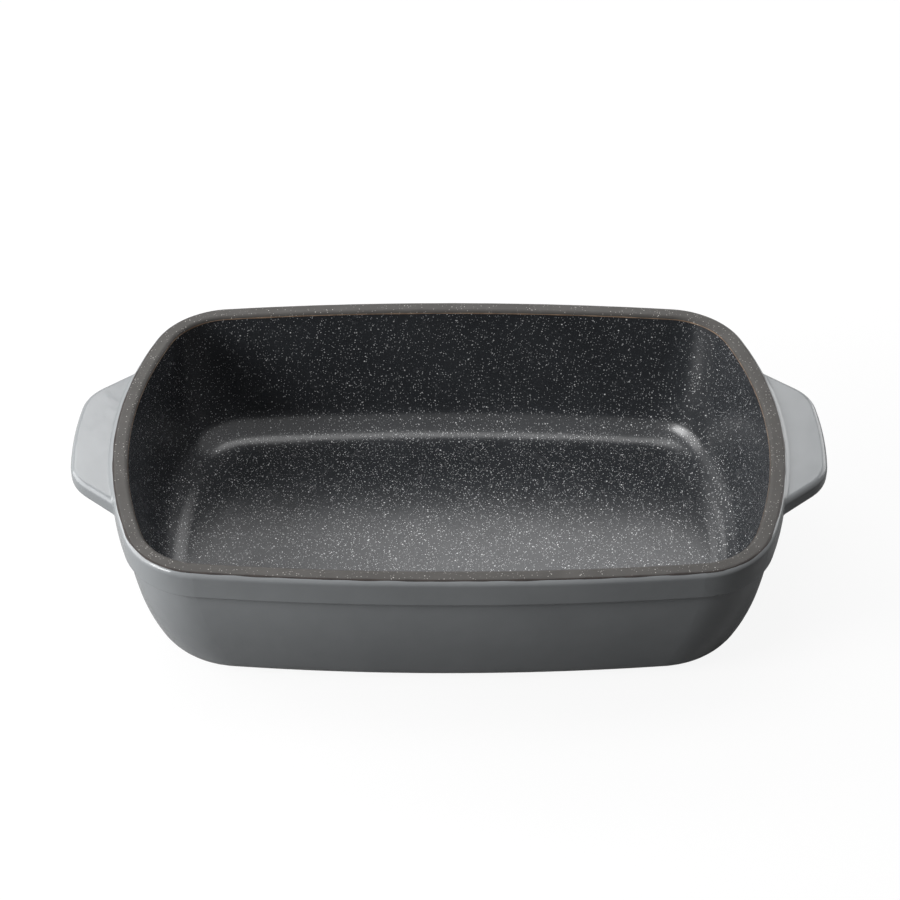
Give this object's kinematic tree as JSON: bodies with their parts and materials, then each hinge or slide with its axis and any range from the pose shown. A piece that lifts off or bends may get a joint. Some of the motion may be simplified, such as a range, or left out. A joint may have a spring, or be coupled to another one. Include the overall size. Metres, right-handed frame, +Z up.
{
  "type": "lasagna dish",
  "caption": "Deep oblong stoneware baking dish with bowed sides, a thick rim band, flat lug handles at both ends and a speckled dark coat inside.",
  "frame": {"origin": "centre of the bottom of the foot ring, under the middle of the dish", "axes": "+X along the length of the dish, from one lug handle to the other, with handle_right at +X; +Y across the dish, away from the viewer of the picture; +Z up, out of the mouth"},
  "size_m": [0.372, 0.218, 0.08],
  "materials": {
    "stoneware": "bare fired stoneware, matt and slightly rough",
    "grey_glaze": "smooth glossy cool grey glaze",
    "dark_coat": "glossy charcoal non-stick coat with fine pale specks",
    "rim_coat": "satin taupe coat with faint specks"
  },
  "bodies": {
    "root": {"stoneware_body": "stoneware", "handle_left": "stoneware", "handle_right": "stoneware", "outer_glaze": "grey_glaze", "base_glaze": "grey_glaze", "inner_coating": "dark_coat", "rim_coating": "rim_coat"}
  },
  "joints": []
}
